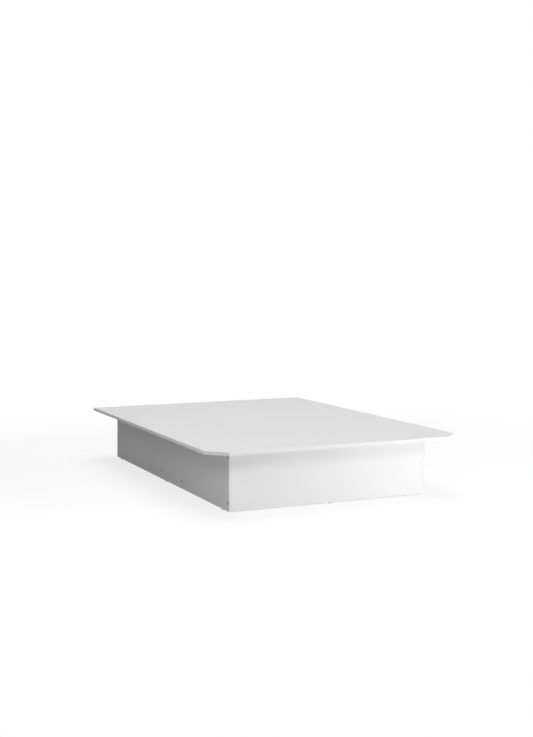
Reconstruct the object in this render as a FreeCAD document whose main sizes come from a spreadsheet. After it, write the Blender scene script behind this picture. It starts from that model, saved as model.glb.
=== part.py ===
import FreeCAD, Part
import os
import re
import Sketcher

# A platform bed base, in millimetres: a deck of two boards that stands out all
# round over a box plinth of board panels, which rests on nailed glides.
# The origin is on the floor under the middle of the deck. +X is to the right
# seen from the foot, +Y runs from the foot to the head, and +Z is up.

SIZES = (
    # Deck
    ("deck_width", 1400, "across the bed, over the edge bands"),
    ("deck_length", 1950, "foot to head, over the edge bands"),
    ("corner_clip", 90, "each leg of the cut foot corners"),
    ("seam_gap", 0.6, "between the two deck boards"),
    # Boards and their edges
    ("board", 16, "thickness of every board"),
    ("edge_band", 1, "thickness of the strip on a finished edge"),
    ("edge_ease", 0.5, "rounding of the strip's outer edges"),
    # Plinth
    ("plinth_height", 295, "panel height"),
    ("side_overhang", 150, "deck edge to side panel"),
    ("foot_overhang", 145, "deck edge to foot panel"),
    ("head_inset", 5, "deck edge to the head end of a side panel"),
    ("rib_setback", 174, "head edge of each deck board to the panel under it"),
    # Connecting screws through the side panels
    ("connector_length", 50, "under the head"),
    ("connector_diameter", 7, "shank"),
    ("connector_head", 15, "flat head"),
    ("connector_head_height", 2, "flat head"),
    ("connector_head_ease", 0.7, "chamfer of the flat head"),
    ("connector_tip", 3, "flat of the point"),
    ("connector_point", 4, "length of the point"),
    ("connector_low", 41, "lower row above the panel's bottom edge"),
    ("connector_drop", 35, "upper row below the panel's top edge"),
    ("socket_width", 5, "hexagon socket across its flats"),
    ("socket_depth", 3, "hexagon socket"),
    # Dowels
    ("dowel_diameter", 8, "beech dowel"),
    ("dowel_length", 30, "beech dowel"),
    ("dowel_chamfer", 1, "at both ends"),
    ("dowel_seat", 11, "length held in a side panel"),
    ("dowel_pitch", 96, "between the two dowels of a panel's end"),
    ("seam_dowel_edge", 80, "outer seam dowel to the deck's side"),
    ("seam_dowel_count", 5, "dowels along the seam"),
    # Wood screws of the brackets and seam plates
    ("screw_length", 14, "under the head"),
    ("screw_diameter", 4, "thread"),
    ("screw_point", 3, "length of the point"),
    ("screw_head", 8, "pan head"),
    ("screw_head_height", 2.4, "pan head"),
    ("screw_head_ease", 0.8, "chamfer of the pan head"),
    ("recess_span", 4.6, "cross recess, tip to tip"),
    ("recess_width", 1.1, "cross recess, wing"),
    ("recess_depth", 1.5, "cross recess"),
    # Angle brackets under the deck
    ("bracket_leg", 30, "each leg"),
    ("bracket_width", 44, "along the bend"),
    ("bracket_plate", 2, "sheet thickness"),
    ("bracket_bend", 2, "inside radius"),
    ("bracket_corner", 5, "rounding of the legs' corners"),
    ("bracket_hole", 18, "hole to the corner that the bracket sits in"),
    ("bracket_pitch", 26, "between the two holes of a leg"),
    ("bracket_edge", 234, "bracket on a cross panel to the side panel"),
    # Plates under the deck seam
    ("seam_plate_length", 120, "across the seam"),
    ("seam_plate_width", 25, "along the seam"),
    ("seam_plate_sheet", 2, "sheet thickness"),
    ("seam_plate_corner", 6, "rounding of the corners"),
    ("seam_plate_inner", 22, "inner hole to the seam"),
    ("seam_plate_end", 12, "outer hole to the plate's end"),
    ("seam_plate_edge", 134, "outer plate to the side panel"),
    ("seam_plate_count", 4, "plates along the seam"),
    # Nailed glides
    ("glide_height", 5, "floor to panel"),
    ("glide_diameter", 16, "glide"),
    ("glide_ease", 1.5, "chamfer at the floor"),
    ("glide_foot_inset", 92, "first side glide to the panel's foot end"),
    ("glide_head_inset", 84, "last side glide to the panel's head end"),
    ("side_glide_count", 3, "glides under each side panel"),
    ("nail_diameter", 2.2, "shank"),
    ("nail_length", 17, "under the head"),
    ("nail_point", 3, "length of the point"),
    ("nail_head", 6, "flat head"),
    ("nail_head_height", 1, "flat head"),
    ("nail_recess", 2.2, "floor to the underside of the nail's head"),
    # Fits
    ("fit_clearance", 0.1, "round a fastener in its hole, on the radius"),
    ("plate_clearance", 0.25, "round a screw in sheet metal, on the radius"),
    ("end_clearance", 1, "hole beyond the fastener's end"),
)

SAME_PLACE = 1e-3
RIGHT_ANGLE = 90
SIZE_NAMES = re.compile(r"\b(" + "|".join(alias for alias, number, note in SIZES) + r")\b")
# Each sketch plane with the sign of its normal along the third axis
PLANES = {"XY": ("XY_Plane", 1), "XZ": ("XZ_Plane", -1), "YZ": ("YZ_Plane", 1)}

doc = FreeCAD.newDocument("BedBase")
sheet = doc.addObject("Spreadsheet::Sheet", "Sizes")
for row_number, (alias, number, note) in enumerate(SIZES, start=1):
    sheet.set(f"A{row_number}", alias)
    sheet.set(f"B{row_number}", str(number))
    sheet.set(f"C{row_number}", note)
    sheet.setAlias(f"B{row_number}", alias)
doc.recompute()
sub_parts = []


# Helpers that tie geometry to the sheet

def bound(expression):
    """Writes the sheet's name before each size in an expression."""
    return SIZE_NAMES.sub(r"Sizes.\1", expression)


def value(expression):
    """The present value of an expression of sizes."""
    return float(sheet.evalExpression(bound(expression)))


def count(alias):
    return round(value(alias))


def bind(thing, target, expression):
    thing.setExpression(target, bound(expression))


def make_body(label, x="0", y="0", z="0", turn=0):
    """A sub-part at a place of its own, turned about the vertical by degrees."""
    body = doc.addObject("PartDesign::Body", label)
    body.Label = label
    body.Placement.Rotation = FreeCAD.Rotation(FreeCAD.Vector(0, 0, 1), turn)
    for axis, expression in zip("xyz", (x, y, z)):
        bind(body, f"Placement.Base.{axis}", expression)
    sub_parts.append(body)
    return body


def origin_feature(body, role):
    return next(thing for thing in body.Origin.OriginFeatures if thing.Role == role)


def make_sketch(body, name, plane, at):
    """A sketch on an origin plane of the body, moved along the third axis."""
    role, sign = PLANES[plane]
    sketch = body.newObject("Sketcher::SketchObject", f"{body.Label}_{name}_sketch")
    sketch.AttachmentSupport = [(origin_feature(body, role), "")]
    sketch.MapMode = "FlatFace"
    bind(sketch, "AttachmentOffset.Base.z", f"{sign} * ({at})")
    return sketch


def fix_point(sketch, geometry, point, x, y):
    for kind, expression in (("DistanceX", x), ("DistanceY", y)):
        constraint = Sketcher.Constraint(kind, -1, 1, geometry, point, value(expression))
        bind(sketch, f"Constraints[{sketch.addConstraint(constraint)}]", expression)


def add_outline(sketch, corners):
    points = [FreeCAD.Vector(value(x), value(y), 0) for x, y in corners]
    ends = points[1:] + points[:1]
    lines = [sketch.addGeometry(Part.LineSegment(start, end)) for start, end in zip(points, ends)]
    for line, following in zip(lines, lines[1:] + lines[:1]):
        sketch.addConstraint(Sketcher.Constraint("Coincident", line, 2, following, 1))
    for line, (x, y) in zip(lines, corners):
        fix_point(sketch, line, 1, x, y)


def add_circles(sketch, centres, diameter):
    for x, y in centres:
        centre = FreeCAD.Vector(value(x), value(y), 0)
        circle = Part.Circle(centre, FreeCAD.Vector(0, 0, 1), value(diameter) / 2)
        geometry = sketch.addGeometry(circle)
        constraint = Sketcher.Constraint("Diameter", geometry, value(diameter))
        bind(sketch, f"Constraints[{sketch.addConstraint(constraint)}]", diameter)
        fix_point(sketch, geometry, 3, x, y)


def pad(body, plane, corners, length, at="0", toward=1):
    """A solid from an outline at a plane, grown along the third axis."""
    sketch = make_sketch(body, "outline", plane, at)
    add_outline(sketch, corners)
    feature = body.newObject("PartDesign::Pad", f"{body.Label}_pad")
    feature.Profile = sketch
    feature.Reversed = toward != PLANES[plane][1]
    bind(feature, "Length", length)


def pocket(body, name, sketch, plane, depth, toward):
    feature = body.newObject("PartDesign::Pocket", f"{body.Label}_{name}")
    feature.Profile = sketch
    feature.Reversed = toward == PLANES[plane][1]
    bind(feature, "Length", depth)


def drill(body, name, plane, centres, diameter, depth, at="0", toward=1):
    """Round holes of one size, from a plane along the third axis."""
    sketch = make_sketch(body, name, plane, at)
    add_circles(sketch, centres, diameter)
    pocket(body, name, sketch, plane, depth, toward)


def recess(body, plane, corners, depth, at, toward):
    """A hollow of an outline's shape, from a plane along the third axis."""
    sketch = make_sketch(body, "recess", plane, at)
    add_outline(sketch, corners)
    pocket(body, "recess", sketch, plane, depth, toward)


def spin(body, axis, profile):
    """A turned solid about an axis of the body, from (along, radius) corners."""
    sketch = make_sketch(body, "profile", "YZ" if axis == "Y" else "XZ", "0")
    upright = axis == "Z"
    add_outline(sketch, [(radius, along) if upright else (along, radius) for along, radius in profile])
    feature = body.newObject("PartDesign::Revolution", f"{body.Label}_turned")
    feature.Profile = sketch
    feature.ReferenceAxis = (sketch, ["V_Axis" if upright else "H_Axis"])
    feature.Angle = 4 * RIGHT_ANGLE


def round_edges(body, name, radius, centres):
    """Rounds the edges whose middles lie at the given places of the body."""
    doc.recompute()
    base = body.Tip
    places = [FreeCAD.Vector(*(value(expression) for expression in centre)) for centre in centres]
    names = [
        f"Edge{number}"
        for number, edge in enumerate(base.Shape.Edges, start=1)
        if any(edge.CenterOfMass.distanceToPoint(place) < SAME_PLACE for place in places)
    ]
    if len(names) != len(places):
        raise RuntimeError(f"{body.Label}: {len(names)} of {len(places)} edges found to round")
    feature = body.newObject("PartDesign::Fillet", f"{body.Label}_{name}")
    feature.Base = (base, names)
    bind(feature, "Radius", radius)


def repeat(body, *rows, mirrored=None):
    """Repeats all that the body holds as separate solids, across a plane and then
    along rows, each an axis with its length and number of copies."""
    body.AllowCompound = True
    original = body.Tip
    pattern = body.newObject("PartDesign::MultiTransform", f"{body.Label}_pattern")
    pattern.TransformMode = "Whole shape"
    pattern.Originals = [original]
    steps = []
    if mirrored:
        step = doc.addObject("PartDesign::Mirrored", f"{body.Label}_mirror")
        body.addObject(step)
        step.MirrorPlane = (origin_feature(body, PLANES[mirrored][0]), [""])
        steps.append(step)
    for axis, length, copies in rows:
        step = doc.addObject("PartDesign::LinearPattern", f"{body.Label}_row")
        body.addObject(step)
        step.Direction = (origin_feature(body, f"{axis}_Axis"), [""])
        bind(step, "Length", length)
        bind(step, "Occurrences", copies)
        steps.append(step)
    pattern.Transformations = steps
    body.Tip = pattern


def minus(expression):
    return f"-({expression})"


def rectangle(half_x, half_y):
    """Corners of a rectangle about the origin."""
    return [(f"{sx} * {half_x}", f"{sy} * {half_y}") for sx, sy in ((-1, -1), (1, -1), (1, 1), (-1, 1))]


def spread(first, last, copies):
    """Even places from one expression to another."""
    return [f"({first}) + (({last}) - ({first})) * {k} / {copies - 1}" for k in range(copies)]


# Places that several sub-parts share

DECK_UNDERSIDE = "glide_height + plinth_height"
HALF_WIDTH = "deck_width / 2"
HALF_LENGTH = "deck_length / 2"
PLINTH_SIDE = "(deck_width / 2 - side_overhang)"
PLINTH_INSIDE = "(deck_width / 2 - side_overhang - board)"
PLINTH_FOOT = "(-deck_length / 2 + foot_overhang)"
PLINTH_HEAD = "(deck_length / 2 - head_inset)"

# Both deck boards lie on two cross panels each, at the same places along them
FOOT_PANEL = "(-deck_length / 2 + foot_overhang + board / 2)"
BAY = "(deck_length / 2 - foot_overhang - board / 2 - rib_setback)"
BAY_CLEAR = f"({BAY} - board)"
CROSS_PANELS = {
    "foot_panel": FOOT_PANEL,
    "foot_rib": "(-rib_setback)",
    "head_rib": "(foot_overhang + board / 2)",
    "head_panel": "(deck_length / 2 - rib_setback)",
}
BAY_MIDDLES = {
    "foot": f"({FOOT_PANEL} + {BAY} / 2)",
    "head": f"({FOOT_PANEL} + {BAY} / 2 + deck_length / 2)",
}
SIDES = {"left": -1, "right": 1}
PAIR = "2"
BOTH_BOARDS = ("Y", HALF_LENGTH, PAIR)
BAY_ENDS = (("Y", BAY, PAIR), BOTH_BOARDS)

CONNECTOR_ROWS = ("connector_low", "plinth_height - connector_drop")
DOWEL_ROWS = ("plinth_height / 2 - dowel_pitch / 2", "plinth_height / 2 + dowel_pitch / 2")
CONNECTOR_HOLE = "connector_diameter + 2 * fit_clearance"
DOWEL_HOLE = "dowel_diameter + 2 * fit_clearance"
SCREW_HOLE = "screw_diameter + 2 * fit_clearance"
PLATE_HOLE = "screw_diameter + 2 * plate_clearance"
NAIL_HOLE = "nail_diameter + 2 * fit_clearance"
NAIL_DEPTH = "nail_length - (glide_height - nail_recess) + end_clearance"
BRACKET_SCREW_DEPTH = "screw_length - bracket_plate + end_clearance"
SEAM_SCREW_DEPTH = "screw_length - seam_plate_sheet + end_clearance"

BRACKET_X = f"({PLINTH_INSIDE} - bracket_edge)"
BRACKET_ROW = [f"{sign} * {BRACKET_X} + {step} * bracket_pitch / 2" for sign in (-1, 1) for step in (-1, 1)]
SEAM_PLATE_OUTER = f"({PLINTH_INSIDE} - seam_plate_edge)"
SEAM_PLATE_ROW = spread(minus(SEAM_PLATE_OUTER), SEAM_PLATE_OUTER, count("seam_plate_count"))
SEAM_PLATE_STEPS = ("seam_plate_inner", "(seam_plate_length / 2 - seam_plate_end)")
SEAM_DOWEL_OUTER = "(deck_width / 2 - seam_dowel_edge)"
SEAM_DOWEL_ROW = spread(minus(SEAM_DOWEL_OUTER), SEAM_DOWEL_OUTER, count("seam_dowel_count"))
GLIDE_FIRST = f"({PLINTH_FOOT} + glide_foot_inset)"
GLIDE_LAST = f"({PLINTH_HEAD} - glide_head_inset)"
SIDE_GLIDES = spread(GLIDE_FIRST, GLIDE_LAST, count("side_glide_count"))


# Deck boards

def foot_deck_corners(inset):
    """The foot board's corners from the left end of the seam, drawn in by an inset."""
    side = f"({HALF_WIDTH} - {inset})"
    seam = "-seam_gap / 2"
    edge = f"(-{HALF_LENGTH} + {inset})"
    clip = f"(corner_clip - {inset} * (2 - sqrt(2)))"
    left = [(minus(side), seam), (minus(side), f"{edge} + {clip}"), (f"-{side} + {clip}", edge)]
    right = [(f"{side} - {clip}", edge), (side, f"{edge} + {clip}"), (side, seam)]
    return left + right


def head_deck_corners(inset):
    """The head board's corners from the right end of the seam, drawn in by an inset."""
    side = f"({HALF_WIDTH} - {inset})"
    seam = "seam_gap / 2"
    edge = f"({HALF_LENGTH} - {inset})"
    return [(side, seam), (side, edge), (minus(side), edge), (minus(side), seam)]


def bracket_screws_in_deck(half):
    """Places of the bracket screws under one deck board."""
    middle = BAY_MIDDLES[half]
    reach = f"({BAY_CLEAR} / 2 - bracket_hole)"
    places = [(x, f"{middle} + {end} * {reach}") for end in (-1, 1) for x in BRACKET_ROW]
    for side in SIDES.values():
        x = f"{side} * ({PLINTH_INSIDE} - bracket_hole)"
        places += [(x, f"{middle} + {step} * bracket_pitch / 2") for step in (-1, 1)]
    return places


def seam_screws_in_deck(sign):
    return [(x, f"{sign} * {step}") for x in SEAM_PLATE_ROW for step in SEAM_PLATE_STEPS]


def deck_board(half, corners, sign):
    body = make_body(f"deck_{half}_board", z=DECK_UNDERSIDE)
    pad(body, "XY", corners("edge_band"), "board")
    drill(body, "bracket_screw_holes", "XY", bracket_screws_in_deck(half), SCREW_HOLE, BRACKET_SCREW_DEPTH)
    drill(body, "seam_screw_holes", "XY", seam_screws_in_deck(sign), SCREW_HOLE, SEAM_SCREW_DEPTH)
    centres = [(x, "board / 2") for x in SEAM_DOWEL_ROW]
    depth = "dowel_length / 2 - seam_gap / 2 + end_clearance"
    drill(body, "dowel_holes", "XZ", centres, DOWEL_HOLE, depth, f"{sign} * seam_gap / 2", sign)


# Edge bands

def middle_of(first, second):
    return f"(({first}) + ({second})) / 2"


def band_ends(outer, inner, k):
    """Mitred outline of the strip between two neighbouring corners."""
    return [outer[k], outer[k + 1], inner[k + 1], inner[k]]


def deck_bands(corners, labels):
    """Strips round one deck board, with the outer edges eased."""
    outer, inner = corners("0"), corners("edge_band")
    for k, label in enumerate(labels):
        body = make_body(label, z=DECK_UNDERSIDE)
        pad(body, "XY", band_ends(outer, inner, k), "board")
        middle = [middle_of(first, second) for first, second in zip(outer[k], outer[k + 1])]
        round_edges(body, "eased", "edge_ease", [(*middle, z) for z in ("0", "board")])


def side_panel_corners(inset):
    """A side panel's corners in Y and Z, from the top of its foot end."""
    foot = f"({PLINTH_FOOT} + {inset})"
    head = f"({PLINTH_HEAD} - {inset})"
    return [(foot, "plinth_height"), (foot, inset), (head, inset), (head, "plinth_height")]


def side_bands(side):
    """Strips on the foot, bottom and head edges of a side panel."""
    outer, inner = side_panel_corners("0"), side_panel_corners("edge_band")
    inward = -SIDES[side]
    for k, edge in enumerate(("foot", "bottom", "head")):
        body = make_body(f"{side}_side_{edge}_band", f"{SIDES[side]} * {PLINTH_SIDE}", z="glide_height")
        pad(body, "YZ", band_ends(outer, inner, k), "board", toward=inward)
        if edge == "bottom":
            centres = [(f"{inward} * board / 2", y) for y in SIDE_GLIDES]
            drill(body, "nail_holes", "XY", centres, NAIL_HOLE, "edge_band")
        middle = [middle_of(first, second) for first, second in zip(outer[k], outer[k + 1])]
        round_edges(body, "eased", "edge_ease", [(x, *middle) for x in ("0", f"{inward} * board")])


def foot_panel_band():
    """Strip on the bottom edge of the foot panel, between the side panels."""
    body = make_body("foot_panel_bottom_band", y=FOOT_PANEL, z="glide_height")
    pad(body, "XY", rectangle(PLINTH_INSIDE, "board / 2"), "edge_band")
    drill(body, "nail_hole", "XY", [("0", "0")], NAIL_HOLE, "edge_band")
    round_edges(body, "eased", "edge_ease", [("0", f"{face} * board / 2", "0") for face in (-1, 1)])


# Plinth panels

def side_panel(side):
    sign = SIDES[side]
    inward = -sign
    inside = f"{inward} * board"
    body = make_body(f"{side}_side_panel", f"{sign} * {PLINTH_SIDE}", z="glide_height")
    pad(body, "YZ", side_panel_corners("edge_band"), "board", toward=inward)
    dowels = [(y, z) for y in CROSS_PANELS.values() for z in DOWEL_ROWS]
    drill(body, "dowel_holes", "YZ", dowels, DOWEL_HOLE, "dowel_seat + end_clearance", inside, sign)
    screws = [
        (f"{middle} + {step} * bracket_pitch / 2", "plinth_height - bracket_hole")
        for middle in BAY_MIDDLES.values()
        for step in (-1, 1)
    ]
    drill(body, "bracket_screw_holes", "YZ", screws, SCREW_HOLE, BRACKET_SCREW_DEPTH, inside, sign)
    nails = [(f"{inward} * board / 2", y) for y in SIDE_GLIDES]
    drill(body, "nail_holes", "XY", nails, NAIL_HOLE, NAIL_DEPTH)
    connectors = [(y, z) for y in CROSS_PANELS.values() for z in CONNECTOR_ROWS]
    drill(body, "connector_holes", "YZ", connectors, CONNECTOR_HOLE, "board", toward=inward)


def cross_panel(label, bottom, bracket_side):
    """A panel across the plinth, with its brackets on its foot (-1) or head (1) face."""
    body = make_body(label, y=CROSS_PANELS[label], z="glide_height")
    left, right = minus(PLINTH_INSIDE), PLINTH_INSIDE
    corners = [(left, bottom), (right, bottom), (right, "plinth_height"), (left, "plinth_height")]
    pad(body, "XZ", corners, "board", "-board / 2")
    connectors = [("0", z) for z in CONNECTOR_ROWS]
    connector_depth = "connector_length - board + end_clearance"
    dowels = [("0", z) for z in DOWEL_ROWS]
    dowel_depth = "dowel_length - dowel_seat + end_clearance"
    for side, sign in SIDES.items():
        end = f"{sign} * {PLINTH_INSIDE}"
        name = f"{side}_connector_holes"
        drill(body, name, "YZ", connectors, CONNECTOR_HOLE, connector_depth, end, -sign)
        drill(body, f"{side}_dowel_holes", "YZ", dowels, DOWEL_HOLE, dowel_depth, end, -sign)
    screws = [(x, "plinth_height - bracket_hole") for x in BRACKET_ROW]
    face = f"{bracket_side} * board / 2"
    drill(body, "bracket_screw_holes", "XZ", screws, SCREW_HOLE, BRACKET_SCREW_DEPTH, face, -bracket_side)
    drill(body, "nail_hole", "XY", [("0", "0")], NAIL_HOLE, NAIL_DEPTH)


# Brackets and plates under the deck

def angle_bracket(label, x, y, turn):
    """Bent sheet in the corner of the deck and a panel that faces its own +Y."""
    body = make_body(label, x, y, DECK_UNDERSIDE, turn)
    leg, sheet_inside = "-bracket_leg", "-bracket_plate"
    upper = [("0", "0"), ("bracket_leg", "0"), ("bracket_leg", sheet_inside)]
    lower = [("bracket_plate", sheet_inside), ("bracket_plate", leg), ("0", leg)]
    pad(body, "YZ", upper + lower, "bracket_width", "-bracket_width / 2")
    holes = [f"{step} * bracket_pitch / 2" for step in (-1, 1)]
    deck_holes = [(across, "bracket_hole") for across in holes]
    drill(body, "deck_holes", "XY", deck_holes, PLATE_HOLE, "bracket_plate", toward=-1)
    panel_holes = [(across, "-bracket_hole") for across in holes]
    drill(body, "panel_holes", "XZ", panel_holes, PLATE_HOLE, "bracket_plate")
    ends = [f"{step} * bracket_width / 2" for step in (-1, 1)]
    corners = [(end, "bracket_leg", "-bracket_plate / 2") for end in ends]
    corners += [(end, "bracket_plate / 2", "-bracket_leg") for end in ends]
    round_edges(body, "corners", "bracket_corner", corners)
    round_edges(body, "bend_inside", "bracket_bend", [("0", "bracket_plate", "-bracket_plate")])
    round_edges(body, "bend_outside", "bracket_bend + bracket_plate", [("0", "0", "0")])


def angle_brackets():
    """A pair on each cross panel and one on each side panel, under each deck board."""
    for half, first, second in (("foot", "foot_panel", "foot_rib"), ("head", "head_rib", "head_panel")):
        for side, sign in SIDES.items():
            x = f"{sign} * {BRACKET_X}"
            first_face = f"{CROSS_PANELS[first]} + board / 2"
            second_face = f"{CROSS_PANELS[second]} - board / 2"
            angle_bracket(f"{first}_{side}_bracket", x, first_face, 0)
            angle_bracket(f"{second}_{side}_bracket", x, second_face, 2 * RIGHT_ANGLE)
            wall = f"{sign} * {PLINTH_INSIDE}"
            angle_bracket(f"{side}_side_{half}_bracket", wall, BAY_MIDDLES[half], sign * RIGHT_ANGLE)


def seam_plate(number, x):
    body = make_body(f"seam_plate_{number}", x, z=DECK_UNDERSIDE)
    corners = rectangle("seam_plate_width / 2", "seam_plate_length / 2")
    pad(body, "XY", corners, "seam_plate_sheet", toward=-1)
    centres = [("0", f"{sign} * {step}") for sign in (-1, 1) for step in SEAM_PLATE_STEPS]
    drill(body, "holes", "XY", centres, PLATE_HOLE, "seam_plate_sheet", toward=-1)
    middles = [(*corner, "-seam_plate_sheet / 2") for corner in corners]
    round_edges(body, "corners", "seam_plate_corner", middles)


# Fasteners, each kind a group of separate solids

def connecting_screws():
    """Flat-headed screws through the side panels into the ends of the cross panels."""
    body = make_body("connecting_screws", y=FOOT_PANEL, z="glide_height + connector_low")
    seat = minus(PLINTH_SIDE)
    head = f"{seat} - connector_head_height"
    tip = f"{seat} + connector_length"
    profile = [
        (head, "0"),
        (head, "connector_head / 2 - connector_head_ease"),
        (f"{head} + connector_head_ease", "connector_head / 2"),
        (seat, "connector_head / 2"),
        (seat, "connector_diameter / 2"),
        (f"{tip} - connector_point", "connector_diameter / 2"),
        (tip, "connector_tip / 2"),
        (tip, "0"),
    ]
    spin(body, "X", profile)
    flat, point = "socket_width / 2", "socket_width / sqrt(3)"
    upper = [(flat, f"-{point} / 2"), (flat, f"{point} / 2"), ("0", point)]
    lower = [(f"-{flat}", f"{point} / 2"), (f"-{flat}", f"-{point} / 2"), ("0", f"-{point}")]
    recess(body, "YZ", upper + lower, "socket_depth", head, 1)
    rise = "plinth_height - connector_low - connector_drop"
    repeat(body, *BAY_ENDS, ("Z", rise, PAIR), mirrored="YZ")


def dowel_profile(start):
    """Profile of a dowel from its start, chamfered at both ends."""
    end = f"{start} + dowel_length"
    radius, tip = "dowel_diameter / 2", "dowel_diameter / 2 - dowel_chamfer"
    first = [(start, "0"), (start, tip), (f"{start} + dowel_chamfer", radius)]
    return first + [(f"{end} - dowel_chamfer", radius), (end, tip), (end, "0")]


def panel_dowels():
    """Dowels between the side panels and the ends of the cross panels."""
    body = make_body("panel_dowels", y=FOOT_PANEL, z=f"glide_height + {DOWEL_ROWS[0]}")
    spin(body, "X", dowel_profile(f"-{PLINTH_INSIDE} - dowel_seat"))
    repeat(body, *BAY_ENDS, ("Z", "dowel_pitch", PAIR), mirrored="YZ")


def seam_dowels():
    """Dowels across the seam of the deck."""
    body = make_body("seam_dowels", minus(SEAM_DOWEL_OUTER), z=f"{DECK_UNDERSIDE} + board / 2")
    spin(body, "Y", dowel_profile("-dowel_length / 2"))
    repeat(body, ("X", f"2 * {SEAM_DOWEL_OUTER}", "seam_dowel_count"))


def wood_screw(body, axis, seat="0", toward=1):
    """A pan head screw along an axis, with its head's underside at the seat."""
    head = f"{seat} - {toward} * screw_head_height"
    shank = f"{seat} + {toward} * (screw_length - screw_point)"
    profile = [
        (head, "0"),
        (head, "screw_head / 2 - screw_head_ease"),
        (f"{head} + {toward} * screw_head_ease", "screw_head / 2"),
        (seat, "screw_head / 2"),
        (seat, "screw_diameter / 2"),
        (shank, "screw_diameter / 2"),
        (f"{seat} + {toward} * screw_length", "0"),
    ]
    spin(body, axis, profile)
    near, far = "recess_width / 2", "recess_span / 2"
    quarter = [(far, f"-{near}"), (far, near), (near, near)]
    cross = quarter + [(f"-({y})", x) for x, y in quarter]
    cross += [(f"-({x})", f"-({y})") for x, y in cross]
    plane = {"X": "YZ", "Y": "XZ", "Z": "XY"}[axis]
    recess(body, plane, cross, "recess_depth", head, toward)


def cross_bracket_screws():
    """Screws of the brackets on the cross panels: up into the deck and into the panels."""
    first_x = f"-{BRACKET_X} - bracket_pitch / 2"
    middle = BAY_MIDDLES["foot"]
    reach = f"({BAY_CLEAR} / 2 - bracket_hole)"
    seat = f"{DECK_UNDERSIDE} - bracket_plate"
    body = make_body("cross_bracket_deck_screws", first_x, f"{middle} - {reach}", seat)
    wood_screw(body, "Z")
    across = ("X", "bracket_pitch", PAIR), ("X", f"2 * {BRACKET_X}", PAIR)
    repeat(body, *across, ("Y", f"2 * {reach}", PAIR), BOTH_BOARDS)

    body = make_body("cross_bracket_panel_screws", first_x, middle, f"{DECK_UNDERSIDE} - bracket_hole")
    wood_screw(body, "Y", f"(-{BAY_CLEAR} / 2 + bracket_plate)", -1)
    repeat(body, *across, BOTH_BOARDS, mirrored="XZ")


def side_bracket_screws():
    """Screws of the brackets on the side panels: up into the deck and into the panels."""
    first_y = f"{BAY_MIDDLES['foot']} - bracket_pitch / 2"
    reach = f"({PLINTH_INSIDE} - bracket_hole)"
    seat = f"{DECK_UNDERSIDE} - bracket_plate"
    body = make_body("side_bracket_deck_screws", minus(reach), first_y, seat)
    wood_screw(body, "Z")
    repeat(body, ("Y", "bracket_pitch", PAIR), BOTH_BOARDS, ("X", f"2 * {reach}", PAIR))

    body = make_body("side_bracket_panel_screws", "0", first_y, f"{DECK_UNDERSIDE} - bracket_hole")
    wood_screw(body, "X", f"(-{PLINTH_INSIDE} + bracket_plate)", -1)
    repeat(body, ("Y", "bracket_pitch", PAIR), BOTH_BOARDS, mirrored="YZ")


def seam_plate_screws():
    inner, outer = SEAM_PLATE_STEPS
    seat = f"{DECK_UNDERSIDE} - seam_plate_sheet"
    body = make_body("seam_plate_screws", minus(SEAM_PLATE_OUTER), minus(outer), seat)
    wood_screw(body, "Z")
    along = ("Y", f"{outer} - {inner}", PAIR), ("Y", f"{outer} + {inner}", PAIR)
    repeat(body, *along, ("X", f"2 * {SEAM_PLATE_OUTER}", "seam_plate_count"))


# Glides and their nails

def glide(label, x, y):
    """A round glide under a panel's bottom edge, hollowed for its nail's head."""
    body = make_body(label, x, y)
    rim = "glide_diameter / 2"
    bore = f"({NAIL_HOLE}) / 2"
    hollow = "(nail_head / 2 + fit_clearance)"
    outside = [("glide_height", bore), ("glide_height", rim), ("glide_ease", rim)]
    underside = [("0", f"{rim} - glide_ease"), ("0", hollow)]
    inside = [("nail_recess", hollow), ("nail_recess", bore)]
    spin(body, "Z", outside + underside + inside)


def nail(body):
    """A nail that points up from the hollow of a glide."""
    profile = [
        ("nail_recess - nail_head_height", "0"),
        ("nail_recess - nail_head_height", "nail_head / 2"),
        ("nail_recess", "nail_head / 2"),
        ("nail_recess", "nail_diameter / 2"),
        ("nail_recess + nail_length - nail_point", "nail_diameter / 2"),
        ("nail_recess + nail_length", "0"),
    ]
    spin(body, "Z", profile)


def glides_and_nails():
    line = f"({PLINTH_SIDE} - board / 2)"
    for side, sign in SIDES.items():
        for number, y in enumerate(SIDE_GLIDES, start=1):
            glide(f"{side}_side_glide_{number}", f"{sign} * {line}", y)
    for label, y in CROSS_PANELS.items():
        glide(f"{label}_glide", "0", y)

    body = make_body("side_glide_nails", minus(line), GLIDE_FIRST)
    nail(body)
    along = ("Y", f"{GLIDE_LAST} - {GLIDE_FIRST}", "side_glide_count")
    repeat(body, along, ("X", f"2 * {line}", PAIR))

    body = make_body("cross_glide_nails", "0", FOOT_PANEL)
    nail(body)
    repeat(body, *BAY_ENDS)


# The whole base

deck_board("foot", foot_deck_corners, -1)
deck_board("head", head_deck_corners, 1)
foot_bands = ("foot_left", "left_clip", "foot", "right_clip", "foot_right")
deck_bands(foot_deck_corners, [f"deck_{edge}_band" for edge in foot_bands])
deck_bands(head_deck_corners, [f"deck_{edge}_band" for edge in ("head_right", "head", "head_left")])
for name in SIDES:
    side_panel(name)
    side_bands(name)
cross_panel("foot_panel", "edge_band", 1)
cross_panel("foot_rib", "0", -1)
cross_panel("head_rib", "0", 1)
cross_panel("head_panel", "0", -1)
foot_panel_band()
angle_brackets()
for plate_number, plate_x in enumerate(SEAM_PLATE_ROW, start=1):
    seam_plate(plate_number, plate_x)
connecting_screws()
panel_dowels()
seam_dowels()
cross_bracket_screws()
side_bracket_screws()
seam_plate_screws()
glides_and_nails()
doc.recompute()

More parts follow.
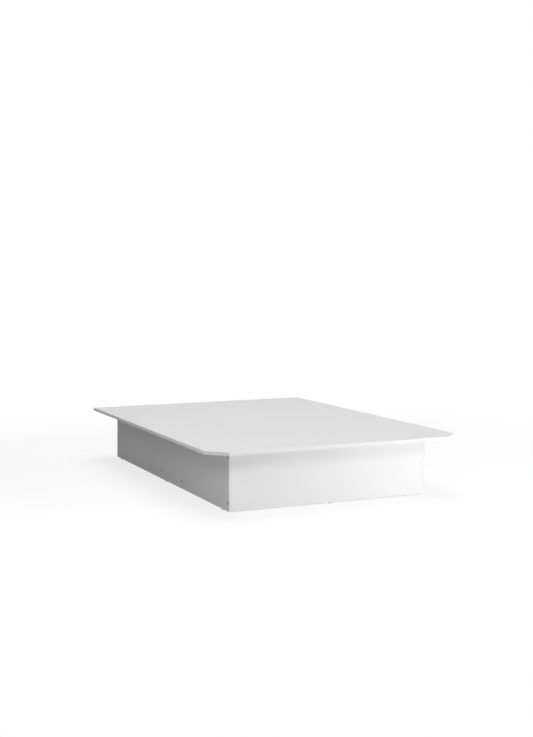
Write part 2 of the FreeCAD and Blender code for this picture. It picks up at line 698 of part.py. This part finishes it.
for thing in doc.Objects:
    if {"Invalid", "Error"} & set(thing.State):
        raise RuntimeError(f"{thing.Label} failed: {thing.State}")
    cuts = thing.TypeId == "PartDesign::Pocket"
    if cuts and thing.Shape.Volume >= thing.BaseFeature.Shape.Volume:
        raise RuntimeError(f"{thing.Label} cuts nothing")
for body in sub_parts:
    if body.Shape.isNull() or not body.Shape.isValid():
        raise RuntimeError(f"{body.Label} has no valid shape")

os.makedirs("parts", exist_ok=True)
for body in sub_parts:
    body.Shape.exportStep(f"parts/{body.Label}.step")
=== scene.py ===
from math import cos, pi, radians, sin, sqrt, tau

import bmesh
import bpy
from mathutils import Matrix, Vector


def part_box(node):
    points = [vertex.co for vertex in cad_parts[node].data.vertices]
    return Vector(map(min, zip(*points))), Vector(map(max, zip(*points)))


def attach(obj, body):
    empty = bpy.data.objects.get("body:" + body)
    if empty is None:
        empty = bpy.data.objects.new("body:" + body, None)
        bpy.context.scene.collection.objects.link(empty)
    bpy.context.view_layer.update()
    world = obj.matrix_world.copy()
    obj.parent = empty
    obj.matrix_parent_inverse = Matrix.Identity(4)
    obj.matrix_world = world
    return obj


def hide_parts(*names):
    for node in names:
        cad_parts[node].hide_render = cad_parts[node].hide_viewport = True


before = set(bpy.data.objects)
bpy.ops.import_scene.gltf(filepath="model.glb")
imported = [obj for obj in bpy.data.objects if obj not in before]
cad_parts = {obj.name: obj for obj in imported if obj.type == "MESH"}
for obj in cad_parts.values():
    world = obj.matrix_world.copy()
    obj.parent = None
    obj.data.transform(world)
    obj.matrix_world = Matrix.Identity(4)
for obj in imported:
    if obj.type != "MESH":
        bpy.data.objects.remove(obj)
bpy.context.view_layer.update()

# A white platform bed base, in metres: two deck boards over a box plinth.
# +X is to the right seen from the foot, +Y runs to the head, +Z is up.

MM = 0.001
WELD = 0.001 * MM
BODY = "root"
AXES = "XYZ"

# Camera, fitted to the edges of the base
IMAGE_HEIGHT = 737
IMAGE_CENTRE_ROW = IMAGE_HEIGHT / 2
EYE = Vector((-2.6639, -5.8657, 1.1633))
EYE_YAW = radians(24.656)
FOCAL_PIXELS = 1137.14
HORIZON_ROW = 270.79
SENSOR_WIDTH = 36

# Boards by the axis that runs through their thickness
BOARD_AXES = {
    "deck_foot_board": "Z",
    "deck_head_board": "Z",
    "left_side_panel": "X",
    "right_side_panel": "X",
    "foot_panel": "Y",
    "foot_rib": "Y",
    "head_rib": "Y",
    "head_panel": "Y",
}


# Node trees

# Places of the two colours and of their mix on a Mix node
MIX_START, MIX_END, MIX_RESULT = 6, 7, 2


class Value:
    """A socket of a node tree, on which arithmetic adds Math nodes."""

    def __init__(self, graph, socket):
        self.graph = graph
        self.socket = socket

    def math(self, operation, *operands):
        sockets = dict(enumerate(operands))
        return self.graph.node("ShaderNodeMath", {"operation": operation}, sockets)

    def __add__(self, other):
        return self.math("ADD", self, other)

    def __radd__(self, other):
        return self.math("ADD", other, self)

    def __sub__(self, other):
        return self.math("SUBTRACT", self, other)

    def __rsub__(self, other):
        return self.math("SUBTRACT", other, self)

    def __mul__(self, other):
        return self.math("MULTIPLY", self, other)

    def __rmul__(self, other):
        return self.math("MULTIPLY", other, self)

    def __truediv__(self, other):
        return self.math("DIVIDE", self, other)

    def __rtruediv__(self, other):
        return self.math("DIVIDE", other, self)

    def __abs__(self):
        return self.math("ABSOLUTE", self)

    def __gt__(self, other):
        return self.math("GREATER_THAN", self, other)

    def __lt__(self, other):
        return self.math("LESS_THAN", self, other)

    def ease(self, start, end):
        """0 up to start and 1 from end on, with a smooth step between them."""
        settings = {"interpolation_type": "SMOOTHSTEP"}
        sockets = {"Value": self, "From Min": start, "From Max": end}
        return self.graph.node("ShaderNodeMapRange", settings, sockets)


class Graph:
    """The node tree of one material or of the world."""

    def __init__(self, tree):
        self.tree = tree
        tree.nodes.clear()

    def node(self, kind, settings=None, sockets=None, output=0):
        """Adds a node: its settings first, then the values or links of its sockets."""
        made = self.tree.nodes.new(kind)
        for name, setting in (settings or {}).items():
            setattr(made, name, setting)
        for name, given in (sockets or {}).items():
            if isinstance(given, Value):
                self.tree.links.new(given.socket, made.inputs[name])
            else:
                made.inputs[name].default_value = given
        return Value(self, made.outputs[output]) if made.outputs else None

    def place(self, stretch=(1, 1, 1), turn=0):
        """Object coordinates, turned about the vertical and stretched for a pattern."""
        place = self.node("ShaderNodeTexCoord", output="Object")
        aligned = self.node("ShaderNodeMapping", {}, {"Vector": place, "Rotation": (0, 0, turn)})
        return self.node("ShaderNodeMapping", {}, {"Vector": aligned, "Scale": stretch})

    def facing(self, axis):
        """How far a surface faces along an axis, from 0 to 1."""
        normal = self.node("ShaderNodeTexCoord", output="Normal")
        return abs(self.node("ShaderNodeSeparateXYZ", {}, {"Vector": normal}, axis))

    def along(self, axis):
        """Where a point lies along an axis."""
        return self.node("ShaderNodeSeparateXYZ", {}, {"Vector": self.place()}, axis)

    def noise(self, place, size, detail=2, roughness=0.5):
        """Soft noise from 0 to 1 with features of a size."""
        sockets = {"Vector": place, "Scale": 1 / size, "Detail": detail, "Roughness": roughness}
        return self.node("ShaderNodeTexNoise", {}, sockets)

    def cells(self, place, size, output="Distance"):
        """Cells of a size: how far a point is from their seeds, or a random colour for each."""
        sockets = {"Vector": place, "Scale": 1 / size}
        return self.node("ShaderNodeTexVoronoi", {}, sockets, output)

    def first(self, given):
        """The first channel of a colour, as a plain value."""
        return self.node("ShaderNodeSeparateColor", {}, {"Color": given})

    def grey(self, tone):
        """A grey from a plain value."""
        sockets = {"Red": tone, "Green": tone, "Blue": tone}
        return self.node("ShaderNodeCombineColor", {}, sockets)

    def mix(self, share, start, end):
        """A colour between two others."""
        sockets = {0: share, MIX_START: colour(start), MIX_END: colour(end)}
        return self.node("ShaderNodeMix", {"data_type": "RGBA"}, sockets, MIX_RESULT)

    def bump(self, height, depth):
        """A normal from a height of 0 to 1 and the depth it stands for."""
        return self.node("ShaderNodeBump", {}, {"Height": height, "Distance": depth})


def colour(given):
    """A grey from one number, or a colour from three, in the form that sockets take."""
    if isinstance(given, Value):
        return given
    channels = given if isinstance(given, tuple) else (given,) * 3
    return (*channels, 1)


def by_axis(axis, along, across):
    """One number for an axis and another for the two across it."""
    return tuple(along if name == axis else across for name in AXES)


def new_finish(name, surface, *details):
    """A material from a function that gives the sockets of its shader."""
    material = bpy.data.materials.new(name)
    material.use_nodes = True
    graph = Graph(material.node_tree)
    shader = graph.node("ShaderNodeBsdfPrincipled", {}, surface(graph, *details))
    graph.node("ShaderNodeOutputMaterial", {}, {"Surface": shader})
    return material


# Finishes

WHITE = 0.82
LAMINATE_TONE = WHITE - 0.02
STRIP_TONE = WHITE - 0.045
CHIP_TONES = ((0.62, 0.45, 0.27), (0.36, 0.23, 0.12))
# Dark brown painted into the pits of a sawn chipboard edge, as painted shade
PIT_SHADE_TONE = (0.16, 0.09, 0.045)
NICKEL_TONES = ((0.31, 0.31, 0.315), (0.44, 0.44, 0.435))
ZINC_TONES = ((0.56, 0.575, 0.60), (0.66, 0.645, 0.60))
SPANGLE_TONE = (0.42, 0.43, 0.45)
BEECH_TONES = ((0.66, 0.46, 0.29), (0.52, 0.34, 0.20))
FLECK_TONE = (0.30, 0.17, 0.09)
NYLON_TONES = ((0.70, 0.70, 0.685), (0.78, 0.78, 0.77))
SCUFF_TONE = 0.52


def laminate(graph):
    """Tone, roughness and relief of white laminate with a fine pearl grain."""
    cloud_shade, pearl_shade, speck_shade = 0.03, 0.024, 0.10
    matt, matt_wiped, matt_pearl = 0.40, 0.10, 0.05
    speck_reach = 0.022
    place = graph.place()
    cloud = graph.noise(place, size=160 * MM, detail=3)
    pearl = graph.noise(place, size=0.9 * MM)
    speck = graph.cells(place, size=9 * MM) < speck_reach
    wiped = graph.noise(graph.place(by_axis("X", along=1, across=6)), size=60 * MM)
    tone = LAMINATE_TONE + cloud_shade * cloud + pearl_shade * pearl - speck_shade * speck
    roughness = matt + matt_wiped * wiped + matt_pearl * pearl
    return tone, roughness, pearl


def chipboard(graph, axis, low, high):
    """Tone and relief of a sawn chipboard edge: coarse chips between finer outer layers, with
    painted shade in the pits between the chips.
    """
    chip_share, pit_shade_share, chip_height = 0.75, 0.7, 0.6
    paper_thickness = 0.25 * MM
    place = graph.place(by_axis(axis, along=2.5, across=1))
    middle, half = (low + high) / 2, (high - low) / 2
    outward = abs(graph.along(axis) - middle) / half
    fine = outward.ease(start=0.55, end=0.75)
    coarse_chip = graph.first(graph.cells(place, size=5 * MM, output="Color"))
    fine_chip = graph.first(graph.cells(place, size=1.6 * MM, output="Color"))
    chip = coarse_chip * (1 - fine) + fine_chip * fine
    # Pits between the chips: dented in the relief and darkened in the tone, which is painted shade
    pit_dent_and_shade = graph.noise(place, size=2.2 * MM, detail=3).ease(start=0.62, end=0.72)
    dark = chip_share * chip + (1 - chip_share) * graph.noise(place, size=0.7 * MM)
    tone = graph.mix(pit_shade_share * pit_dent_and_shade, graph.mix(dark, *CHIP_TONES), PIT_SHADE_TONE)
    paper = outward > 1 - paper_thickness / half
    return graph.mix(paper, tone, WHITE), chip_height * chip - pit_dent_and_shade


def white_board(graph, axis, low, high):
    """A laminated board, white on its two faces and sawn chipboard on its bare edges."""
    edge_limit, edge_matt = 0.5, 0.9
    pearl_height, relief_depth = 0.2, 0.35 * MM
    tone, roughness, pearl = laminate(graph)
    chips, relief = chipboard(graph, axis, low, high)
    edge = graph.facing(axis) < edge_limit
    face = 1 - edge
    return {
        "Base Color": graph.mix(edge, graph.grey(tone), chips),
        "Roughness": roughness * face + edge_matt * edge,
        "Normal": graph.bump(pearl_height * pearl * face + relief * edge, relief_depth),
    }


def white_strip(graph, run, across, turn):
    """An edge strip, buffed along its run, with its trimmed rims a shade greyer."""
    buffed_shade, grain_shade, rim_shade = 0.03, 0.01, 0.05
    matt, matt_buffed, matt_rim = 0.26, 0.12, 0.12
    relief_depth = 0.03 * MM
    place = graph.place(by_axis(run, along=1, across=14), turn)
    buffed = graph.noise(place, size=22 * MM, detail=3)
    grain = graph.noise(graph.place(), size=0.7 * MM)
    rim = graph.facing(across).ease(start=0.8, end=0.98)
    tone = STRIP_TONE + buffed_shade * buffed + grain_shade * grain - rim_shade * rim
    return {
        "Base Color": graph.grey(tone),
        "Roughness": matt + matt_buffed * buffed + matt_rim * rim,
        "Normal": graph.bump((buffed + grain) / 2, relief_depth),
    }


def dark_screw(graph):
    """Dark nickel with worn spots and fine turning marks."""
    matt, matt_marks, polish = 0.38, 0.22, 0.08
    metal, mark_depth = 0.85, 0.04 * MM
    worn = graph.noise(graph.place(), size=1.6 * MM, detail=3).ease(start=0.55, end=0.8)
    turning = graph.place(by_axis("Z", along=9, across=1))
    marks = graph.noise(turning, size=1.2 * MM, detail=3)
    return {
        "Base Color": graph.mix(worn, *NICKEL_TONES),
        "Metallic": metal,
        "Roughness": matt + matt_marks * marks - polish * worn,
        "Normal": graph.bump(marks, mark_depth),
    }


def zinc_steel(graph):
    """Bright zinc on stamped sheet: cloudy grey with a faint straw tint and drag marks."""
    matt, matt_cloud, matt_drag = 0.30, 0.12, 0.10
    spangle_share, drag_height, relief_depth = 0.25, 0.6, 0.04 * MM
    place = graph.place()
    cloud = graph.noise(place, size=7 * MM, detail=4)
    spangle = graph.first(graph.cells(place, size=2.4 * MM, output="Color"))
    dragged = graph.place(by_axis("Y", along=1, across=12))
    drag = graph.noise(dragged, size=9 * MM, detail=3)
    tint = graph.mix(cloud.ease(start=0.35, end=0.7), *ZINC_TONES)
    relief = drag_height * drag + (1 - drag_height) * spangle
    return {
        "Base Color": graph.mix(spangle_share * spangle, tint, SPANGLE_TONE),
        "Metallic": 1.0,
        "Roughness": matt + matt_cloud * cloud + matt_drag * drag,
        "Normal": graph.bump(relief, relief_depth),
    }


def beech(graph, run):
    """Turned beech with short dark flecks along the grain."""
    matt, matt_grain = 0.55, 0.15
    fleck_share, fleck_dip, relief_depth = 0.55, 0.4, 0.10 * MM
    place = graph.place(by_axis(run, along=1, across=7))
    grain = graph.noise(place, size=14 * MM, detail=4, roughness=0.6)
    fleck = graph.noise(place, size=4 * MM).ease(start=0.58, end=0.68)
    return {
        "Base Color": graph.mix(fleck_share * fleck, graph.mix(grain, *BEECH_TONES), FLECK_TONE),
        "Roughness": matt + matt_grain * grain,
        "Normal": graph.bump(grain - fleck_dip * fleck, relief_depth),
    }


def nylon(graph):
    """Moulded off-white nylon, matt with faint flow clouds."""
    matt, matt_grain, matt_scuff = 0.46, 0.12, 0.10
    scuff_share, grain_depth = 0.25, 0.03 * MM
    place = graph.place()
    flow = graph.noise(place, size=6 * MM, detail=3)
    grain = graph.noise(place, size=0.4 * MM)
    scuff = graph.noise(place, size=1.1 * MM, detail=3).ease(start=0.60, end=0.72)
    return {
        "Base Color": graph.mix(scuff_share * scuff, graph.mix(flow, *NYLON_TONES), SCUFF_TONE),
        "Roughness": matt + matt_grain * grain + matt_scuff * scuff,
        "Normal": graph.bump(grain, grain_depth),
    }


# Meshes and objects

def new_mesh(name, shape):
    """A mesh from a shape, which is then freed."""
    mesh = bpy.data.meshes.new(name)
    shape.to_mesh(mesh)
    shape.free()
    return mesh


def new_object(name, data):
    """An object in the scene."""
    made = bpy.data.objects.new(name, data)
    bpy.context.scene.collection.objects.link(made)
    return made


# Fasteners

ROUND_STEPS = 36
THREAD_STEPS = ROUND_STEPS // 2
GOLDEN_TURN = pi * (3 - sqrt(5))
SHARP_ANGLE = radians(32)
ABOUT_Z = {"cent": (0, 0, 0), "axis": (0, 0, 1)}
RECESS_PEAK = 1 / 6
THREAD_RISE = 0.32
THREAD_ROOT = 0.1 * MM

# Rounding of a head, as shares of its radius and its height
FLAT_HEAD = ((0.76, 0), (0.88, 0.06), (0.95, 0.2), (0.99, 0.42), (1, 0.65), (1, 1))
DOMED_HEAD = ((0.68, 0), (0.83, 0.12), (0.94, 0.34), (1, 0.7), (1, 1))


def fastener_places(node):
    """Where the fasteners of a CAD group sit.

    In each matrix +Z runs from the middle of a head to its tip.
    """
    group = bmesh.new()
    group.from_mesh(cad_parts[node].data)
    bmesh.ops.remove_doubles(group, verts=group.verts, dist=WELD)
    seen = set()
    places = []
    for start in group.verts:
        if start in seen:
            continue
        seen.add(start)
        island = [start]
        for vert in island:
            near = [edge.other_vert(vert) for edge in vert.link_edges]
            fresh = [other for other in near if other not in seen]
            seen.update(fresh)
            island.extend(dict.fromkeys(fresh))
        places.append(fastener_matrix([vert.co for vert in island], len(places)))
    group.free()
    return places


def fastener_matrix(points, number):
    """The place of one fastener from its points, each rolled differently about its axis."""
    low = Vector(min(point[k] for point in points) for k in range(3))
    high = Vector(max(point[k] for point in points) for k in range(3))
    spans = list(high - low)
    axis = spans.index(max(spans))
    across = [k for k in range(3) if k != axis]
    middle = (low + high) / 2

    def girth(end):
        near = [point for point in points if abs(point[axis] - end) < WELD]
        return max(sum(abs(point[k] - middle[k]) for k in across) for point in near)

    head, tip = sorted((low[axis], high[axis]), key=girth, reverse=True)
    direction = Vector((0, 0, 0))
    direction[axis] = 1 if tip > head else -1
    middle[axis] = head
    turn = Vector((0, 0, 1)).rotation_difference(direction).to_matrix().to_4x4()
    return Matrix.Translation(middle) @ turn @ Matrix.Rotation(number * GOLDEN_TURN, 4, "Z")


def turned(profile):
    """A shape spun about Z from (radius, height) points."""
    shape = bmesh.new()
    verts = [shape.verts.new((radius, 0, height)) for radius, height in profile]
    edges = [shape.edges.new(pair) for pair in zip(verts, verts[1:])]
    line = verts + edges
    bmesh.ops.spin(shape, geom=line, **ABOUT_Z, angle=tau, steps=ROUND_STEPS, use_merge=True)
    bmesh.ops.remove_doubles(shape, verts=shape.verts, dist=WELD)
    return shape


def head_profile(rounding, radius, height):
    """The points of a head, from its top to its underside."""
    return [(across * radius, down * height) for across, down in rounding]


def sink_recess(shape, outline, depth, taper):
    """Closes the open ring of a head with a recess of an outline's shape.

    The outline stands off the head until it is bridged, because rings in one plane can cross.
    """
    ring = [edge for edge in shape.edges if edge.is_boundary]
    corners = [shape.verts.new((x, y, -depth)) for x, y in outline]
    sides = [shape.edges.new(pair) for pair in zip(corners, corners[1:] + corners[:1])]
    bmesh.ops.subdivide_edges(shape, edges=sides, cuts=ROUND_STEPS // len(sides) - 1)
    rim = [edge for edge in shape.edges if edge.is_wire]
    rim_verts = list(dict.fromkeys(vert for edge in rim for vert in edge.verts))
    bmesh.ops.bridge_loops(shape, edges=ring + rim)
    bmesh.ops.translate(shape, verts=rim_verts, vec=(0, 0, depth))
    wall = bmesh.ops.extrude_edge_only(shape, edges=rim)["geom"]
    foot = [part for part in wall if isinstance(part, bmesh.types.BMVert)]
    bmesh.ops.scale(shape, verts=foot, vec=(taper, taper, 1))
    bmesh.ops.translate(shape, verts=foot, vec=(0, 0, depth))
    wall_edges = [part for part in wall if isinstance(part, bmesh.types.BMEdge)]
    bottom = [edge for edge in wall_edges if edge.is_boundary]
    floor = bmesh.ops.contextual_create(shape, geom=bottom)["faces"]
    peak = bmesh.ops.poke(shape, faces=floor)["verts"]
    bmesh.ops.translate(shape, verts=peak, vec=(0, 0, RECESS_PEAK * depth))


def cut_thread(shape, core, crest, pitch, start, end):
    """A sharp ridge that winds along a shank and is rooted a little inside it."""
    root, rise = core - THREAD_ROOT, THREAD_RISE * pitch
    corners = [(root, start - rise), (crest, start), (root, start + rise)]
    verts = [shape.verts.new((radius, 0, height)) for radius, height in corners]
    edges = [shape.edges.new(pair) for pair in zip(verts, verts[1:] + verts[:1])]
    shape.faces.new(verts)
    turns = (end - start) / pitch
    steps = round(turns * THREAD_STEPS)
    lift = (0, 0, (end - start) / steps)
    ridge = verts + edges
    swept = bmesh.ops.spin(shape, geom=ridge, **ABOUT_Z, dvec=lift, angle=tau * turns, steps=steps)
    last = [part for part in swept["geom_last"] if isinstance(part, bmesh.types.BMVert)]
    shape.faces.new(last)


def hexagon(flats):
    """Corners of a hexagon socket from its width across flats."""
    sides = 6
    radius = flats / sqrt(3)
    angles = [k * tau / sides for k in range(sides)]
    return [(radius * cos(angle), radius * sin(angle)) for angle in angles]


def cross(span, width):
    """Corners of a cross recess, wing by wing."""
    wings = 4
    far, near = span / 2, width / 2
    wing = [(far, -near), (far, near), (near, near)]
    turns = [Matrix.Rotation(k * tau / wings, 2) for k in range(wings)]
    return [tuple(turn @ Vector(corner)) for turn in turns for corner in wing]


def connecting_screw():
    """A screw with a flat, rounded head, a hexagon socket and a coarse thread."""
    head, neck, core, tip = 7.5 * MM, 3.5 * MM, 2.6 * MM, 1.5 * MM
    height, neck_end, core_start = 2 * MM, 16 * MM, 17 * MM
    thread_start, thread_end = 19 * MM, 47 * MM
    point_start, length = 48 * MM, 52 * MM
    profile = [
        *head_profile(FLAT_HEAD, head, height),
        (neck, height),
        (neck, neck_end),
        (core, core_start),
        (core, point_start),
        (tip, length),
        (0, length),
    ]
    shape = turned(profile)
    sink_recess(shape, hexagon(flats=5 * MM), depth=3 * MM, taper=0.97)
    cut_thread(shape, core, crest=neck, pitch=3 * MM, start=thread_start, end=thread_end)
    return shape


def pan_screw():
    """A domed screw with a cross recess and a fine thread."""
    head, neck, core = 4 * MM, 2 * MM, 1.4 * MM
    height, core_start = 2.4 * MM, 3.6 * MM
    thread_start, thread_end = 4.4 * MM, 12.2 * MM
    point_start, length = 12.4 * MM, 16.4 * MM
    profile = [
        *head_profile(DOMED_HEAD, head, height),
        (neck, height),
        (core, core_start),
        (core, point_start),
        (0, length),
    ]
    shape = turned(profile)
    sink_recess(shape, cross(span=4.6 * MM, width=1.1 * MM), depth=1.5 * MM, taper=0.6)
    cut_thread(shape, core, crest=neck, pitch=1.8 * MM, start=thread_start, end=thread_end)
    return shape


def nail():
    """A flat nail with a slightly dished head and a cut point."""
    head, dish_rim, underside, shank = 3 * MM, 2.4 * MM, 2.7 * MM, 1.1 * MM
    dish, rim_top, rim_bottom, height = 0.12 * MM, 0.25 * MM, 0.85 * MM, 1 * MM
    point_start, length = 15 * MM, 18 * MM
    profile = [
        (0, dish),
        (dish_rim, 0),
        (head, rim_top),
        (head, rim_bottom),
        (underside, height),
        (shank, height),
        (shank, point_start),
        (0, length),
    ]
    return turned(profile)


def dowel():
    """A chamfered dowel with flutes along it."""
    radius, length, chamfer = 4 * MM, 30 * MM, 1 * MM
    tip, flute = radius - chamfer, 0.92
    profile = [
        (0, 0),
        (tip, 0),
        (radius, chamfer),
        (radius, length - chamfer),
        (tip, length),
        (0, length),
    ]
    shape = turned(profile)

    def step(vert):
        return round(vert.co.xy.angle_signed((1, 0), 0) * ROUND_STEPS / tau)

    flutes = [vert for vert in shape.verts if step(vert) % 2]
    bmesh.ops.scale(shape, verts=flutes, vec=(flute, flute, 1))
    return shape


def add_fasteners(node, shape, finish):
    """One piece with a copy of a fastener at each place of a CAD group."""
    bmesh.ops.recalc_face_normals(shape, faces=shape.faces)
    single = new_mesh(f"{node}_single", shape)
    whole = bmesh.new()
    for place in fastener_places(node):
        copy = single.copy()
        copy.transform(place)
        whole.from_mesh(copy)
        bpy.data.meshes.remove(copy)
    bpy.data.meshes.remove(single)
    mesh = new_mesh(f"{node}_modelled", whole)
    mesh.shade_smooth()
    mesh.set_sharp_from_angle(angle=SHARP_ANGLE)
    mesh.materials.append(finish)
    piece = new_object(f"{node}_modelled", mesh)
    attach(piece, BODY)
    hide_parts(node)


# Dressing of the CAD nodes

CLIP_TURNS = {"deck_left_clip_band": pi / 4, "deck_right_clip_band": -pi / 4}
DECK_ENDS = ("deck_foot_band", "deck_head_band")


def dress(node, finish):
    """Gives a CAD node one finish."""
    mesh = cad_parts[node].data
    mesh.materials.clear()
    mesh.materials.append(finish)


def strip_directions(node):
    """The run of an edge strip and the axis across its rims."""
    if node.startswith("deck"):
        return ("X" if node in DECK_ENDS or node in CLIP_TURNS else "Y"), "Z"
    if node.startswith("foot_panel"):
        return "X", "Y"
    return ("Y" if "bottom" in node else "Z"), "X"


for name, axis in BOARD_AXES.items():
    low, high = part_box(name)
    index = AXES.index(axis)
    dress(name, new_finish(f"{name}_laminate", white_board, axis, low[index], high[index]))

strips = {}
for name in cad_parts:
    if name.endswith("_band"):
        key = (*strip_directions(name), CLIP_TURNS.get(name, 0))
        if key not in strips:
            strips[key] = new_finish(f"white_strip_{len(strips) + 1}", white_strip, *key)
        dress(name, strips[key])

ZINC = new_finish("bright_zinc", zinc_steel)
NYLON = new_finish("white_nylon", nylon)
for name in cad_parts:
    if name.endswith(("_screws", "_nails")):
        continue
    if name.endswith("_bracket") or name.startswith("seam_plate_"):
        dress(name, ZINC)
    if "_glide" in name:
        dress(name, NYLON)

NICKEL = new_finish("dark_nickel", dark_screw)
add_fasteners("connecting_screws", connecting_screw(), NICKEL)
for name in (
    "cross_bracket_deck_screws",
    "cross_bracket_panel_screws",
    "side_bracket_deck_screws",
    "side_bracket_panel_screws",
    "seam_plate_screws",
):
    add_fasteners(name, pan_screw(), ZINC)
for name in ("side_glide_nails", "cross_glide_nails"):
    add_fasteners(name, nail(), ZINC)
add_fasteners("panel_dowels", dowel(), new_finish("beech_across", beech, "X"))
add_fasteners("seam_dowels", dowel(), new_finish("beech_along", beech, "Y"))


# Stage

FLOOR_SIZE = 60
FLOOR_BOUNCE = 0.2
FLOOR_TONE = 0.3
FLOOR_LIFT = 0.75
AMBIENT = 0.065
FADE_START = 1.5
FADE_END = 3.6

# Soft lamps: name, place, target, width, height, power
LAMPS = (
    ("key", (2.0, -3.3, 0.4), (0.1, -0.8, 0.15), 1.4, 0.6, 88),
    ("high", (0.7, -3.7, 2.2), (0.0, -0.85, 0.15), 1.4, 0.8, 9),
    ("front_left", (-1.5, -3.8, 1.9), (-0.2, -0.85, 0.15), 1.2, 0.8, 21),
    ("near_left", (-1.75, -1.1, 0.2), (-0.55, -0.75, 0.14), 0.6, 0.3, 2.2),
    ("left_high", (-2.7, -2.3, 2.2), (-0.5, -0.6, 0.1), 1.2, 1.2, 19),
    ("overhead", (0, 0, 4.5), (0, 0, 0), 3.5, 3.5, 108),
    ("right", (4.8, 0.8, 1.5), (0.5, 0.0, 0.2), 2.4, 2.0, 55),
    ("rear", (0.3, 4.8, 0.8), (0.0, 0.8, 0.15), 2.6, 1.0, 60),
)


def seen_rays(graph):
    """1 for rays from the camera, from gloss and through clear things, 0 for bounced light."""
    kinds = ("Is Camera Ray", "Is Glossy Ray", "Is Transmission Ray")
    camera, glossy, clear = (graph.node("ShaderNodeLightPath", output=kind) for kind in kinds)
    return (camera + glossy + clear).ease(start=0, end=1)


def floor_finish():
    """Pale floor that keeps a soft shadow and fades into white away from the base."""
    material = bpy.data.materials.new("pale_floor")
    material.use_nodes = True
    graph = Graph(material.node_tree)
    length = {"operation": "LENGTH"}
    distance = graph.node("ShaderNodeVectorMath", length, {0: graph.place()}, "Value")
    far = distance.ease(FADE_START, FADE_END)
    bounce = graph.node("ShaderNodeBsdfDiffuse", {}, {"Color": colour(FLOOR_BOUNCE)})
    matt = graph.node("ShaderNodeBsdfDiffuse", {}, {"Color": colour(FLOOR_TONE)})
    lift = graph.node("ShaderNodeEmission", {}, {"Color": colour(1.0), "Strength": FLOOR_LIFT})
    white = graph.node("ShaderNodeEmission", {}, {"Color": colour(1.0), "Strength": 1.0})
    near = graph.node("ShaderNodeAddShader", {}, {0: matt, 1: lift})
    shown = graph.node("ShaderNodeMixShader", {}, {0: far, 1: near, 2: white})
    floor = graph.node("ShaderNodeMixShader", {}, {0: seen_rays(graph), 1: bounce, 2: shown})
    below = graph.node("ShaderNodeNewGeometry", output="Backfacing")
    clear = graph.node("ShaderNodeBsdfTransparent")
    sided = graph.node("ShaderNodeMixShader", {}, {0: below, 1: floor, 2: clear})
    graph.node("ShaderNodeOutputMaterial", {}, {"Surface": sided})
    return material


def add_floor():
    shape = bmesh.new()
    bmesh.ops.create_grid(shape, x_segments=1, y_segments=1, size=FLOOR_SIZE / 2)
    mesh = new_mesh("floor", shape)
    mesh.materials.append(floor_finish())
    floor = new_object("floor", mesh)


def add_world():
    world = bpy.data.worlds.new("studio")
    world.use_nodes = True
    graph = Graph(world.node_tree)
    strength = AMBIENT + (1 - AMBIENT) * seen_rays(graph)
    sky = graph.node("ShaderNodeBackground", {}, {"Color": colour(1.0), "Strength": strength})
    graph.node("ShaderNodeOutputWorld", {}, {"Surface": sky})
    bpy.context.scene.world = world


def add_lamp(name, place, target, width, height, power):
    """A soft rectangular lamp that faces a target."""
    light = bpy.data.lights.new(name, "AREA")
    light.shape = "RECTANGLE"
    light.size = width
    light.size_y = height
    light.energy = power
    lamp = new_object(name, light)
    lamp.location = place
    lamp.rotation_euler = (Vector(target) - Vector(place)).to_track_quat("-Z", "Y").to_euler()
    lamp.visible_camera = False
    lamp.visible_glossy = False


def add_camera():
    lens = bpy.data.cameras.new("camera")
    lens.sensor_width = SENSOR_WIDTH
    lens.lens = SENSOR_WIDTH * FOCAL_PIXELS / IMAGE_HEIGHT
    lens.shift_y = (HORIZON_ROW - IMAGE_CENTRE_ROW) / IMAGE_HEIGHT
    camera = new_object("camera", lens)
    camera.location = EYE
    camera.rotation_euler = (pi / 2, 0, -EYE_YAW)
    bpy.context.scene.camera = camera


add_floor()
add_world()
for lamp in LAMPS:
    add_lamp(*lamp)
add_camera()
bpy.context.scene.view_settings.view_transform = "Standard"
